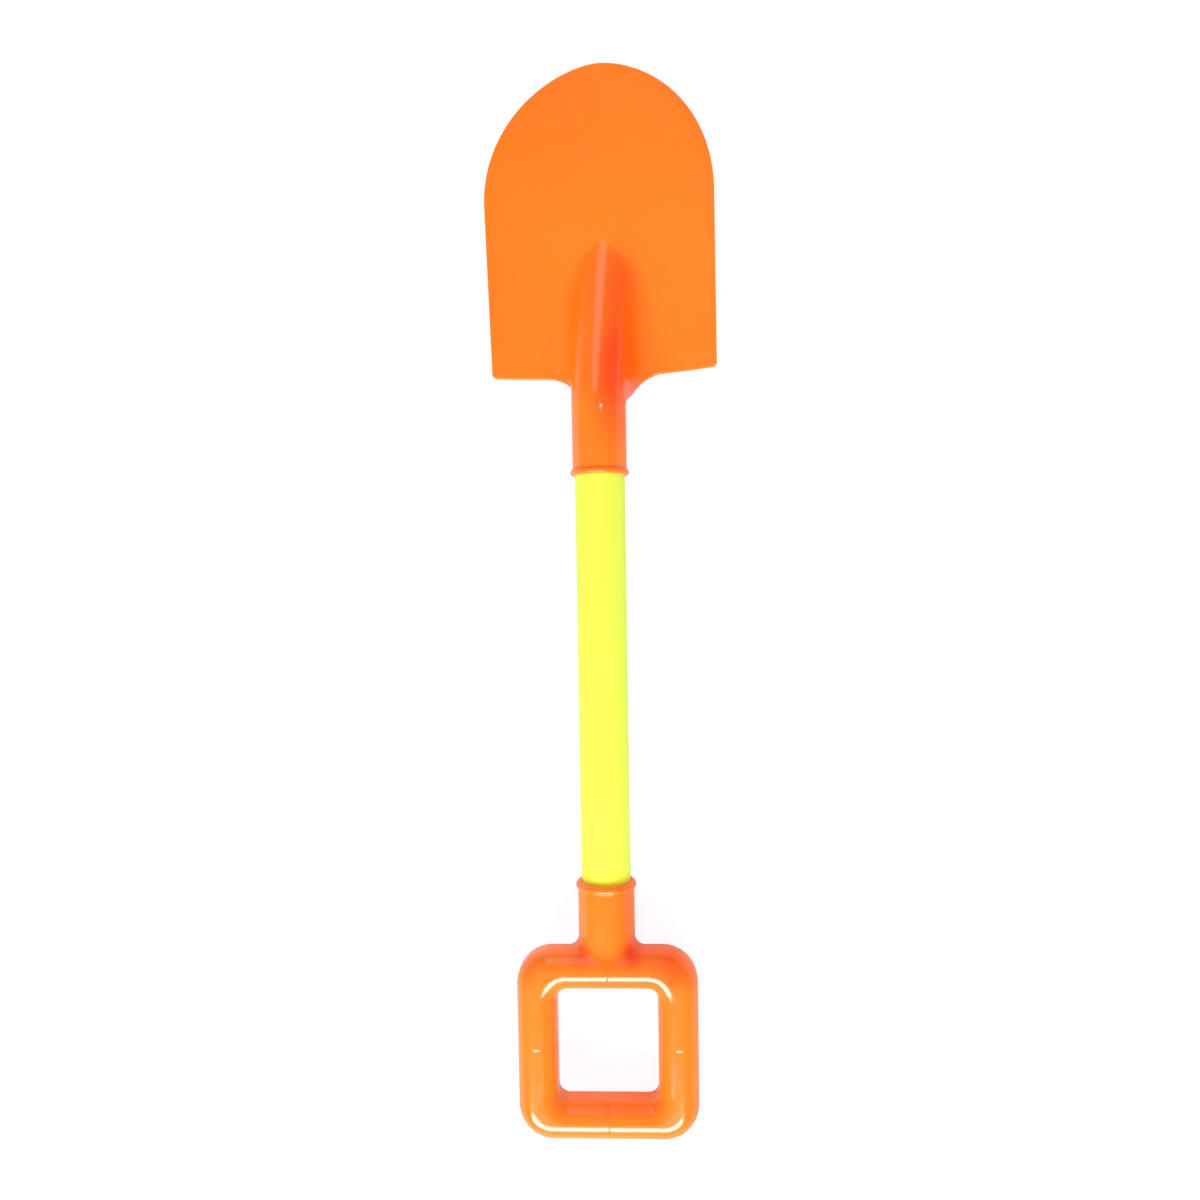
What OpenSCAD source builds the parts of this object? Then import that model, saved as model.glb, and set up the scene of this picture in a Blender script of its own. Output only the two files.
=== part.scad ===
// Toy sand shovel: a scooped blade and a D grip, each pushed onto the end of a plastic tube.
// It lies as it rests on a floor, hollow side up and blade toward +Y, on the rim of the
// grip's socket and the heel of the blade. Inside the modules X is across the shovel,
// Y runs along the shaft from the mouth of the head's socket, and Z is up from the shaft's axis.

/* [Blade] */
// Width across the straight sides
blade_w = 85.8; // [70:0.2:100]
// Length from the shoulders to the tip
blade_l = 112.3; // [95:0.1:140]
// Length of the rounded tip
tip_l = 50.6; // [35:0.2:60]
// Thickness of the moulded wall
blade_t = 2; // [1.4:0.1:3]
// Radius of the hollow across the blade
cup_r = 98; // [80:1:200]
// Depth of the blade's middle below the shaft's axis, at the shoulders
blade_drop = 18.4; // [15:0.2:24]
// Rise of the blade's middle from the shoulders to the tip
blade_rise = 11.5; // [4:0.5:16]
// Radius of the inside corner between shoulder and socket
shoulder_r = 12.5; // [6:0.5:13]
// Radius of the outside corners of the shoulders
corner_r = 1.4; // [0.5:0.1:6]

/* [Tongue] */
// Length of the raised tongue past the shoulders
tongue_l = 48.8; // [35:0.2:70]
// Radius of the tongue's crown at its nose
nose_r = 12.5; // [8:0.5:16]
// Radius of the hollow between tongue and blade
root_r = 11; // [7:0.5:14]
// Half the height over which the nose runs out into the blade
nose_blend = 2; // [1:0.5:4]
// Rise of the blade's level into the neck, toward the socket
neck_rise = 15; // [0:0.5:17]

/* [Head socket] */
// Length from the mouth to the shoulders
head_socket_l = 39.6; // [36:0.1:60]
// Depth to which the tube enters
head_depth = 26; // [16:0.5:26]
// Wall of the socket
head_wall = 0.8; // [0.6:0.1:2]
// How far the rim stands out from the socket
head_rim = 0.85; // [0.4:0.05:1.5]
// Radius of the rim's rounded edge
head_bead = 1.1; // [0.9:0.1:2]

/* [Shaft] */
// Outside diameter of the tube
shaft_d = 18.4; // [14:0.1:22]
// Wall of the tube
shaft_wall = 1.2; // [0.8:0.1:3]
// Length of tube that shows between the sockets
shaft_show = 151.4; // [80:0.2:400]

/* [Grip socket] */
// Length from the mouth to the ring
grip_neck_l = 24.7; // [20:0.1:40]
// Depth to which the tube enters
grip_depth = 22; // [14:0.5:22]
// Wall of the socket
grip_wall = 1.4; // [0.8:0.1:2.4]
// How far the rim stands out from the socket
grip_rim = 0.75; // [0.4:0.05:1.5]
// Radius of the rim's rounded edge
grip_bead = 1.6; // [1:0.1:2.4]
// Radius of the corner where the socket meets the ring
grip_corner = 4; // [2:0.5:6]
// Turn of the grip about the shaft against the blade, right side down
grip_turn = 8; // [-10:0.5:10]

/* [Grip ring] */
// Width of the ring
ring_w = 67.9; // [60:0.1:100]
// Length of the ring along the shaft
ring_l = 72.5; // [64:0.1:110]
// Width of each limb
limb_w = 15; // [12:0.2:17]
// Height of a limb's straight sides
limb_side = 5; // [3:0.2:8]
// Wall of the limbs, which are open at the back
ring_t = 2; // [1.4:0.1:3]
// Radius of the ring's outside corners
ring_corner = 13.3; // [9:0.1:20]
// Radius of the corners of the hole
hole_corner = 4; // [1:0.5:8]
// Thickness of the stiffening ribs
rib_t = 1.4; // [0.8:0.1:2.5]
// How far the ribs stop short of the open back
rib_back = 1; // [0:0.5:3]

/* [Fit] */
// Clearance all round the tube in its sockets
fit_gap = 0.05; // [0.05:0.01:0.3]

/* [Hidden] */
orange = "#ff7d26";
lemon = "#f6ff52";
$fn = 96;
// Overrun of a cut past the face it starts from
cut = 1;

// Head, along the shaft
shaft_r = shaft_d / 2;
bore_r = shaft_r + fit_gap;
head_r = bore_r + head_wall;
// The faceted shell starts a hair inside the socket, within its end wall
skin = 0.15;
head_floor = 2.2;
neck_r = head_r - skin;
neck_w = head_depth + skin;
floor_w = head_depth + head_floor;
shoulder_w = head_socket_l;
tip_w = shoulder_w + blade_l;
nose_w = shoulder_w + tongue_l;
half_w = blade_w / 2;
// Exponents of the tip's outline: a fuller pair makes a squarer tip
tip_across = 1.8;
tip_along = 1.975;
// Crowding of the blade's rise into the neck toward the socket
late_share = 5;
// Share of its length over which the tongue's crown bends down from the socket
bend_share = 0.1;
// Lean of the tongue's flanks, which leaves them the draft to come out of the mould
steepest = 84;

// Counts of the blade's mesh: rows in the neck and along the tongue, and columns
// over the crown, the hollow beside it and the blade
neck_rows = 11;
tongue_rows = 20;
crown_cols = 6;
root_cols = 6;
blade_cols = 5;
side_cols = crown_cols + root_cols + blade_cols;
// Least angle and half width that the columns of the tongue keep past its nose
least_lean = 8;
least_reach = root_r / 2;
// Crowding of the columns of the hollow toward the flank
crowd_share = 1.5;

// Height of the blade's middle line, and of the hollow across it, which fades out in the neck
function smooth(t) = t * t * (3 - 2 * t);
function fade(w) = smooth(min(1, max(0, (w - neck_w) / (shoulder_w - neck_w))));
function middle(w) = blade_rise * (w - shoulder_w) / blade_l - blade_drop
    + neck_rise * pow(1 - fade(w), late_share);
function cup(u, w) = fade(w) * (cup_r - sqrt(cup_r * cup_r - u * u));

// The tongue is a round crown, steep flanks and hollow fillets to the blade. Its crown line
// leaves the socket level, bends down and runs nearly straight into the blade
function along(w) = max(0, (w - floor_w) / (nose_w - floor_w));
function fall(t) = (1 + bend_share) * t * t / (t + bend_share);
function crown(w) = neck_r - (neck_r - middle(nose_w)) * fall(along(w));
function run_out(h) =
    h > nose_blend ? h : h < -nose_blend ? 0 : pow(h + nose_blend, 2) / (4 * nose_blend);
function hump(w) = run_out(crown(w) - middle(w));
function crown_r(w) = neck_r + (nose_r - neck_r) * min(1, along(w));
// Height of the crown's centre over the middle line
function centre(w) = hump(w) - crown_r(w);
// Angle at which crown and fillet meet, no steeper than the flanks, the run of the flank
// between them, and half the width of the whole tongue
function lean(w) = min(steepest, acos(min(1, (root_r - centre(w)) / (crown_r(w) + root_r))));
function flank(w) =
    max(0, centre(w) - root_r + (crown_r(w) + root_r) * cos(lean(w))) / tan(max(least_lean, lean(w)));
function reach(w) = (crown_r(w) + root_r) * sin(lean(w)) + flank(w);

// Height of the tongue at a distance across it, for a wall of thickness t inside the front
function tongue(u, w, t) =
    let (r = crown_r(w) - t, f = root_r + t, q = lean(w), a = reach(w), x = abs(u))
    x >= a ? 0
    : x < r * sin(q) ? centre(w) + t + sqrt(r * r - x * x)
    : x < a - f * sin(q) ? centre(w) + t + r * cos(q) - (x - r * sin(q)) * tan(q)
    : f - sqrt(f * f - pow(a - x, 2));
function wall(u, w, t) = middle(w) - t + cup(u, w) + tongue(u, w, t);

// Columns follow the crown, the fillet and the blade
function column(j, w) =
    let (q = max(least_lean, lean(w)), r = crown_r(w), a = (r + root_r) * sin(q) + flank(w),
         wide = min(max(reach(w), least_reach), half_w - least_reach))
    j <= crown_cols ? r * sin(q * j / crown_cols) * wide / a
    : j <= crown_cols + root_cols
        ? (a - root_r * sin(q * (1 - pow((j - crown_cols) / root_cols, crowd_share)))) * wide / a
    : wide + (half_w + cut - wide) * (j - crown_cols - root_cols) / blade_cols;
function rows() = concat(
    [for (i = [0:neck_rows - 1]) neck_w + (shoulder_w - neck_w) * i / neck_rows],
    [for (i = [0:tongue_rows]) shoulder_w + (nose_w + least_reach - shoulder_w) * i / tongue_rows],
    [tip_w + cut]);

// Outline of the head seen from above, from the neck round the right side to the tip
right_side = concat(
    [[neck_r, neck_w]],
    [for (a = [0:10:90]) [
        neck_r + shoulder_r * (1 - cos(a)),
        shoulder_w - shoulder_r * (1 - sin(a))]],
    [for (a = [0:30:90]) [
        half_w - corner_r * (1 - sin(a)),
        shoulder_w + corner_r * (1 - cos(a))]],
    [for (a = [0:3:87]) [
        half_w * pow(cos(a), 2 / tip_across),
        tip_w - tip_l * (1 - pow(sin(a), 2 / tip_along))]]);
function mirrored(p) = [for (i = [len(p) - 1:-1:0]) [-p[i][0], p[i][1]]];

// Grip, along the shaft
grip_r = bore_r + grip_wall;
mouth_w = -shaft_show;
ring_near = mouth_w - grip_neck_l;
limb_r = limb_w / 2;
limb_near = ring_near - limb_r;
limb_far = ring_near - ring_l + limb_r;
ring_mid = (limb_near + limb_far) / 2;
crown_top = limb_side + limb_r;
// Where the socket runs out in the crown of the near limb
socket_end = limb_near + sqrt(pow(limb_r, 2) - pow(max(0, grip_r - limb_side), 2)) - skin;

// Resting place: the rim of the grip's socket and the heel of the blade touch the floor
heel = min([for (j = [0:side_cols]) wall(column(j, shoulder_w), shoulder_w, blade_t)]);
rim_c = grip_r + grip_rim - grip_bead;
rest_run = shoulder_w - mouth_w + grip_bead;
rest_fall = -heel - rim_c;
pitch = atan2(rest_fall, rest_run) - asin(grip_bead / norm([rest_fall, rest_run]));
rest_z = -shoulder_w * sin(pitch) - heel * cos(pitch);
far_z = limb_side * cos(grip_turn) + (ring_w / 2 - ring_corner) * abs(sin(grip_turn));
far_y = limb_far * cos(pitch) - far_z * sin(pitch) - limb_r;
tip_y = tip_w * cos(pitch) - (middle(tip_w) - blade_t) * sin(pitch);

module lay() {
    translate([0, -(far_y + tip_y) / 2, rest_z])
        rotate([pitch, 0, 0])
            children();
}

// A cylinder along the shaft from w0 to w1
module round_bar(r, w0, w1) {
    translate([0, w0, 0])
        rotate([-90, 0, 0])
            cylinder(r = r, h = w1 - w0);
}

// The rounded rim of a socket, its middle at w
module bead(socket_r, stand, r, w) {
    translate([0, w, 0])
        rotate([-90, 0, 0])
            rotate_extrude()
                translate([socket_r + stand - r, 0])
                    circle(r = r);
}

// Front and back of the blade and tongue as one closed surface
module scooped_shell() {
    ws = rows();
    n = len(ws);
    m = 2 * side_cols + 1;
    function point(i, j, t) =
        let (s = j - side_cols, u = (s < 0 ? -1 : 1) * column(abs(s), ws[i]))
        [u, ws[i], wall(u, ws[i], t)];
    points = concat(
        [for (i = [0:n - 1], j = [0:m - 1]) point(i, j, 0)],
        [for (i = [0:n - 1], j = [0:m - 1]) point(i, j, blade_t)]);
    function f(i, j) = i * m + j;
    function b(i, j) = n * m + f(i, j);
    faces = concat(
        [for (i = [0:n - 2], j = [0:m - 2]) [f(i, j), f(i + 1, j), f(i + 1, j + 1)]],
        [for (i = [0:n - 2], j = [0:m - 2]) [f(i, j), f(i + 1, j + 1), f(i, j + 1)]],
        [for (i = [0:n - 2], j = [0:m - 2]) [b(i, j), b(i + 1, j + 1), b(i + 1, j)]],
        [for (i = [0:n - 2], j = [0:m - 2]) [b(i, j), b(i, j + 1), b(i + 1, j + 1)]],
        [for (j = [0:m - 2]) [f(0, j), f(0, j + 1), b(0, j + 1), b(0, j)]],
        [for (j = [0:m - 2]) [f(n - 1, j + 1), f(n - 1, j), b(n - 1, j), b(n - 1, j + 1)]],
        [for (i = [0:n - 2]) [f(i + 1, 0), f(i, 0), b(i, 0), b(i + 1, 0)]],
        [for (i = [0:n - 2]) [f(i, m - 1), f(i + 1, m - 1), b(i + 1, m - 1), b(i, m - 1)]]);
    polyhedron(points, faces);
}

// Blade, tongue and socket are one moulding
module scoop_head() {
    color(orange) lay() difference() {
        union() {
            intersection() {
                scooped_shell();
                translate([0, 0, -blade_drop - blade_t - cup_r])
                    linear_extrude(height = 2 * (blade_drop + cup_r))
                        polygon(concat(right_side, [[0, tip_w]], mirrored(right_side)));
            }
            round_bar(head_r, 0, floor_w);
            bead(head_r, head_rim, head_bead, head_bead);
        }
        round_bar(bore_r, -cut, head_depth);
    }
}

// The tube seats on the floors of both sockets
module shaft_tube() {
    color(lemon) lay() difference() {
        round_bar(shaft_r, mouth_w - grip_depth, head_depth);
        round_bar(shaft_r - shaft_wall, mouth_w - grip_depth - cut, head_depth + cut);
    }
}

// Runs its children along the sides of a rectangle about the ring's middle, with the
// outward direction as X, and turns them round its corners at a radius r
module round_frame(wide, long, r) {
    for (e = [0, 180])
        translate([0, ring_mid, 0])
            rotate([0, 0, e]) {
                translate([wide / 2, long / 2 - r, 0])
                    rotate([90, 0, 0])
                        linear_extrude(height = long - 2 * r)
                            children();
                translate([r - wide / 2, long / 2, 0])
                    rotate([90, 0, 90])
                        linear_extrude(height = wide - 2 * r)
                            children();
            }
    for (s = [-1, 1], e = [-1, 1])
        translate([s * (wide / 2 - r), ring_mid + e * (long / 2 - r), 0])
            rotate([0, 0, s > 0 ? (e > 0 ? 0 : 270) : (e > 0 ? 90 : 180)])
                rotate_extrude(angle = 90)
                    translate([r, 0])
                        children();
}

// Straight side and quarter crown of a limb, from its middle outward and drawn in by inset
module half_limb(inset, below) {
    r = limb_r - inset;
    translate([0, -below])
        square([r, limb_side + below]);
    intersection() {
        translate([0, limb_side])
            circle(r = r);
        translate([0, limb_side])
            square(r);
    }
}

// A rectangle about the origin with round corners
module round_rectangle(wide, long, r) {
    square([wide - 2 * r, long], center = true);
    square([wide, long - 2 * r], center = true);
    for (x = [-1, 1], y = [-1, 1])
        translate([x * (wide / 2 - r), y * (long / 2 - r)])
            circle(r = r);
}

// Both halves of the limbs: the outer one turns round the outline's corners and the inner
// one round the hole's, and a flat between them fills the crown at the corners
module ring_body(inset, below) {
    wide = ring_w - limb_w;
    long = ring_l - limb_w;
    round_frame(wide, long, ring_corner - limb_r)
        half_limb(inset, below);
    round_frame(wide, long, hole_corner + limb_r)
        mirror([1, 0])
            half_limb(inset, below);
    translate([0, ring_mid, -below])
        linear_extrude(height = below + crown_top - inset)
            difference() {
                round_rectangle(wide, long, ring_corner - limb_r);
                round_rectangle(wide, long, hole_corner + limb_r);
            }
}

// A rib across the middle of each limb
module ribs() {
    translate([-ring_w / 2, ring_mid - rib_t / 2, rib_back])
        cube([ring_w, rib_t, crown_top]);
    translate([-rib_t / 2, ring_near - ring_l, rib_back])
        cube([rib_t, ring_l, crown_top]);
}

// Socket and ring are one moulding, open at the back of the ring
module d_grip() {
    color(orange) lay() rotate([0, grip_turn, 0]) difference() {
        union() {
            ring_body(0, 0);
            round_bar(grip_r, socket_end, mouth_w - grip_bead);
            bead(grip_r, grip_rim, grip_bead, mouth_w - grip_bead);
            for (s = [0, 1])
                mirror([s, 0, 0])
                    translate([grip_r - skin, ring_near - skin, 0])
                        linear_extrude(height = limb_side)
                            difference() {
                                square(grip_corner + skin);
                                translate([grip_corner + skin, grip_corner + skin])
                                    circle(r = grip_corner);
                            }
        }
        difference() {
            ring_body(ring_t, cut);
            ribs();
        }
        round_bar(bore_r, mouth_w - grip_depth, mouth_w + cut);
    }
}

scoop_head();
shaft_tube();
d_grip();
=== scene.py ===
import math

import bmesh
import bpy
import numpy as np
from mathutils import Matrix, Vector


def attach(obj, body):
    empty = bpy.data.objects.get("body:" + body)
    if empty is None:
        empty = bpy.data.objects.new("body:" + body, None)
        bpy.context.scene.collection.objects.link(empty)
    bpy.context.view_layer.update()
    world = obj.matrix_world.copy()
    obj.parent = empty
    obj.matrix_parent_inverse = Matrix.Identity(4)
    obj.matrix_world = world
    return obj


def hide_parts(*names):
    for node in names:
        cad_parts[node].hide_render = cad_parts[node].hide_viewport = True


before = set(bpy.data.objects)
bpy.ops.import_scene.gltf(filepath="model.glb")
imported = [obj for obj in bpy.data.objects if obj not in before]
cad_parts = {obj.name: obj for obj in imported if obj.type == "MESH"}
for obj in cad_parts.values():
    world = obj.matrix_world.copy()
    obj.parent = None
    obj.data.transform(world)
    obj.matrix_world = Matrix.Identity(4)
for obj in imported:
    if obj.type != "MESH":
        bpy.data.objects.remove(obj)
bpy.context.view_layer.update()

# The shovel's own directions
# Everything on it is placed along the shaft: across, along toward the tip, and up from the
# shaft's axis, in millimetres from the mouth of the head's socket. The tube gives the axis.
HEAD_DEPTH = 26.0


def mesh_points(mesh):
    """The points of a mesh, one row of x, y and z each."""
    points = np.empty(len(mesh.vertices) * 3)
    mesh.vertices.foreach_get("co", points)
    return points.reshape(-1, 3)


def ring_centre(points):
    """Centre of the box round a tube's end ring."""
    return (points.min(axis=0) + points.max(axis=0)) / 2


tube_points = mesh_points(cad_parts["shaft_tube"].data)
middle_y = tube_points[:, 1].mean()
head_end = ring_centre(tube_points[tube_points[:, 1] > middle_y])
grip_end = ring_centre(tube_points[tube_points[:, 1] < middle_y])

ALONG = (head_end - grip_end) / np.linalg.norm(head_end - grip_end)
ACROSS = np.array([1.0, 0.0, 0.0])
UPWARD = np.cross(ACROSS, ALONG)
MOUTH = head_end - ALONG * HEAD_DEPTH / 1000


def place(u, w, v):
    """Point of the frame at u across, w along the shaft and v up from its axis, from mm."""
    u, w, v = np.broadcast_arrays(u, w, v)
    steps = np.stack([u, w, v], axis=-1) / 1000
    return MOUTH + steps @ np.array([ACROSS, ALONG, UPWARD])


# Camera
# It looks down on the shovel, whose blade is rolled 10.8 degrees to the camera and rises
# 3.1 degrees toward it. The lens, place and tilt were fitted to the outlines of all pieces.
CAMERA_ROLL = math.radians(10.81)
CAMERA_PITCH = 0.05456
CAMERA_TILT = 0.01648
CAMERA_HEIGHT = 392.41
FOCAL_PIXELS = 1006.42
CENTRE_PIXELS = (592.0, 644.0)
FRAME_PIXELS = 1200
SENSOR_WIDTH = 36.0
MOUTH_SEEN = (3.89, 62.17, 20.0)

seen_across = np.array(
    [
        math.cos(CAMERA_ROLL),
        -math.sin(CAMERA_ROLL) * math.sin(CAMERA_PITCH),
        math.sin(CAMERA_ROLL) * math.cos(CAMERA_PITCH),
    ]
)
seen_along = np.array([0.0, math.cos(CAMERA_PITCH), math.sin(CAMERA_PITCH)])
seen_upward = np.cross(seen_across, seen_along)
# Turns the camera's directions into the frame's
TO_FRAME = np.array([ACROSS, ALONG, UPWARD]).T @ np.array([seen_across, seen_along, seen_upward])
eye = MOUTH + TO_FRAME @ (np.array([0.0, 0.0, CAMERA_HEIGHT]) - np.array(MOUTH_SEEN)) / 1000
picture_right = TO_FRAME @ np.array([1.0, -CAMERA_TILT, 0.0])
picture_up = TO_FRAME @ np.array([CAMERA_TILT, 1.0, 0.0])
picture_back = TO_FRAME @ np.array([0.0, 0.0, 1.0])
axes = np.array([picture_right, picture_up, picture_back]).T
axes /= np.linalg.norm(axes, axis=0)


def add_object(name, data):
    """Puts a mesh, lamp or camera into the scene as an object."""
    thing = bpy.data.objects.new(name, data)
    bpy.context.scene.collection.objects.link(thing)
    return thing


camera_data = bpy.data.cameras.new("camera")
camera_data.sensor_width = SENSOR_WIDTH
camera_data.lens = SENSOR_WIDTH * FOCAL_PIXELS / FRAME_PIXELS
camera_data.shift_x = (FRAME_PIXELS / 2 - CENTRE_PIXELS[0]) / FRAME_PIXELS
camera_data.shift_y = (CENTRE_PIXELS[1] - FRAME_PIXELS / 2) / FRAME_PIXELS
camera = add_object("camera", camera_data)
camera.matrix_world = Matrix.Translation(Vector(eye)) @ Matrix(axes.tolist()).to_4x4()
bpy.context.scene.camera = camera

# Blade with its tongue and socket
# One moulding in glossy orange polypropylene, about 2 mm thick: a hollow scoop whose raised
# tongue runs back into the socket for the tube. Its edges are broken as a mould breaks them.
BLADE_WIDTH = 85.8
BLADE_LENGTH = 112.3
TIP_LENGTH = 50.6
BLADE_WALL = 2.0
CUP_RADIUS = 98.0
BLADE_DROP = 18.4
BLADE_RISE = 11.5
SHOULDER_RADIUS = 12.5
NECK_RISE = 15.0
LATE_SHARE = 5
CORNER_RADIUS = 1.4
TONGUE_LENGTH = 48.8
NOSE_RADIUS = 12.5
ROOT_RADIUS = 11.0
STEEPEST = math.radians(84)
NOSE_BLEND = 2.0
BEND_SHARE = 0.1
SHOULDER = 39.6
HEAD_RADIUS = 10.05
HEAD_FLOOR = 2.2
HEAD_RIM = 0.85
HEAD_BEAD = 1.1
TIP_ACROSS = 1.8
TIP_ALONG = 1.975
EDGE_RADIUS = 0.45

# The blade starts inside the socket's end wall, and there it is just wider than the socket
NECK = HEAD_DEPTH + 0.15
NECK_RADIUS = HEAD_RADIUS + 0.01
SOCKET_END = HEAD_DEPTH + HEAD_FLOOR - 0.8
TIP = SHOULDER + BLADE_LENGTH
NOSE = SHOULDER + TONGUE_LENGTH
HALF_WIDTH = BLADE_WIDTH / 2


def rise(value, start, end):
    """Eased step from 0 at start to 1 at end."""
    t = np.clip((value - start) / (end - start), 0, 1)
    return t * t * (3 - 2 * t)


def blade_middle(w):
    """Height of the blade's middle line: a straight rise to the tip, lifted into the neck."""
    lift = NECK_RISE * (1 - rise(w, NECK, SHOULDER)) ** LATE_SHARE
    return BLADE_RISE * (w - SHOULDER) / BLADE_LENGTH - BLADE_DROP + lift


def cup(u, w):
    """Height of the hollow across the blade, a circle's arc that fades in over the neck."""
    return rise(w, NECK, SHOULDER) * (CUP_RADIUS - np.sqrt(CUP_RADIUS**2 - u**2))


def crown_height(w):
    """Height of the tongue's crown line: level at the socket, then nearly straight down."""
    t = np.maximum(0, (w - SOCKET_END) / (NOSE - SOCKET_END))
    fall = (1 + BEND_SHARE) * t * t / (t + BEND_SHARE)
    return NECK_RADIUS - (NECK_RADIUS - blade_middle(NOSE)) * fall


def hump(w):
    """Height of the crown over the blade, run out to nothing at the nose by a parabola."""
    h = crown_height(w) - blade_middle(w)
    soft = (np.clip(h, -NOSE_BLEND, NOSE_BLEND) + NOSE_BLEND) ** 2 / (4 * NOSE_BLEND)
    return np.where(h > NOSE_BLEND, h, soft)


def tongue(u, w, t):
    """Height of the tongue over the blade: a round crown, steep flanks and hollow fillets.

    The flanks stand at the mould's draft where crown and fillet don't meet before that.
    t is how far inside the front surface the height is taken, so that the wall is even.
    """
    share = np.clip((w - SOCKET_END) / (NOSE - SOCKET_END), 0, 1)
    r = NECK_RADIUS + (NOSE_RADIUS - NECK_RADIUS) * share
    c = hump(w) - r
    f = ROOT_RADIUS
    lean = np.minimum(STEEPEST, np.arccos(np.clip((f - c) / (r + f), -1, 1)))
    drop = np.maximum(0, c - f + (r + f) * np.cos(lean))
    a = (r + f) * np.sin(lean) + drop / np.maximum(np.tan(lean), 1e-6)
    x = np.abs(u)
    top = (r - t) * np.sin(lean)
    crown = c + t + np.sqrt(np.maximum(0, (r - t) ** 2 - x**2))
    flank = c + t + (r - t) * np.cos(lean) - (x - top) * np.tan(lean)
    fillet = f + t - np.sqrt(np.maximum(0, (f + t) ** 2 - (a - x) ** 2))
    low = np.where(x < a - (f + t) * np.sin(lean), flank, fillet)
    return np.where(x >= a, 0, np.where(x < top, crown, low))


def blade_height(u, w, t):
    """Height of the head's surface at u across and w along, t below its front."""
    return blade_middle(w) - t + cup(u, w) + tongue(u, w, t)


def arc(cx, cy, r, start, end, count):
    """Points of a circle's arc about (cx, cy), angles in degrees."""
    a = np.radians(np.linspace(start, end, count))
    return np.stack([cx + r * np.cos(a), cy + r * np.sin(a)], axis=1).tolist()


def blade_outline():
    """Right half of the outline, from neck to tip, and its inward direction at each point.

    Neck, hollow corner, shoulder, small corner, straight side, and a tip on the curve
    (x/a)^1.8 + (y/b)^1.975 = 1, all as one run of points.
    """
    hollow_u, hollow_w = NECK_RADIUS + SHOULDER_RADIUS, SHOULDER - SHOULDER_RADIUS
    corner_u, corner_w = HALF_WIDTH - CORNER_RADIUS, SHOULDER + CORNER_RADIUS
    a = np.linspace(0, np.pi / 2, 97)
    tip_u = HALF_WIDTH * np.maximum(0, np.cos(a)) ** (2 / TIP_ACROSS)
    tip_w = TIP - TIP_LENGTH * (1 - np.sin(a) ** (2 / TIP_ALONG))
    runs = [
        np.linspace([NECK_RADIUS, NECK], [NECK_RADIUS, hollow_w], 6, endpoint=False),
        arc(hollow_u, hollow_w, SHOULDER_RADIUS, 180, 90, 37)[:-1],
        np.linspace([hollow_u, SHOULDER], [corner_u, SHOULDER], 32, endpoint=False),
        arc(corner_u, corner_w, CORNER_RADIUS, -90, 0, 11)[:-1],
        np.linspace([HALF_WIDTH, corner_w], [HALF_WIDTH, TIP - TIP_LENGTH], 60, endpoint=False),
        np.stack([tip_u, tip_w], axis=1),
    ]
    p = np.concatenate(runs)
    p[-1] = [0, TIP]
    d = np.gradient(p, axis=0)
    d /= np.linalg.norm(d, axis=1)[:, None]
    n = np.stack([-d[:, 1], d[:, 0]], axis=1)
    n[-1] = [0, -1]
    n[0] = [-1, 0]
    return p, n


def even_steps(u, w, v, count):
    """u and w of count points at even steps along each row's curve of points (u, w, v)."""
    step = np.sqrt(np.diff(u) ** 2 + np.diff(w) ** 2 + np.diff(v) ** 2)
    run = np.concatenate([np.zeros((len(u), 1)), np.cumsum(step, axis=1)], axis=1)
    run /= run[:, -1:]
    even = np.linspace(0, 1, count)
    even_u = np.stack([np.interp(even, *pair) for pair in zip(run, u)])
    even_w = np.stack([np.interp(even, *pair) for pair in zip(run, w)])
    return even_u, even_w


def closed_mesh(name, shells):
    """A mesh of closed shells in metres, each as (points, faces), with outward faces."""
    points, faces, start = [], [], 0
    for shell_points, shell_faces in shells:
        points.append(shell_points)
        faces.append(shell_faces + start)
        start += len(shell_points)
    mesh = bpy.data.meshes.new(name)
    mesh.from_pydata(np.concatenate(points).tolist(), [], np.concatenate(faces).tolist())
    build = bmesh.new()
    build.from_mesh(mesh)
    bmesh.ops.remove_doubles(build, verts=build.verts, dist=1e-6)
    bmesh.ops.dissolve_degenerate(build, dist=1e-7, edges=build.edges)
    bmesh.ops.recalc_face_normals(build, faces=build.faces)
    build.to_mesh(mesh)
    build.free()
    mesh.shade_smooth()
    mesh.set_sharp_from_angle(angle=math.radians(50))
    return mesh


def grid_faces(rows, columns, wrap_rows=False, wrap_columns=False):
    """Quads between neighbours of a grid of points, closed round where asked."""
    i = np.arange(rows if wrap_rows else rows - 1)[:, None]
    j = np.arange(columns if wrap_columns else columns - 1)[None, :]
    a = i * columns + j
    b = i * columns + (j + 1) % columns
    c = (i + 1) % rows * columns + (j + 1) % columns
    d = (i + 1) % rows * columns + j
    return np.stack([a, b, c, d], axis=-1).reshape(-1, 4)


FRONT_POINTS = 76
BACK_POINTS = 52
FINE_POINTS = 1600
EDGE_POINTS = 4
SHORT_OF_TIP = 1.5


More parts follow.
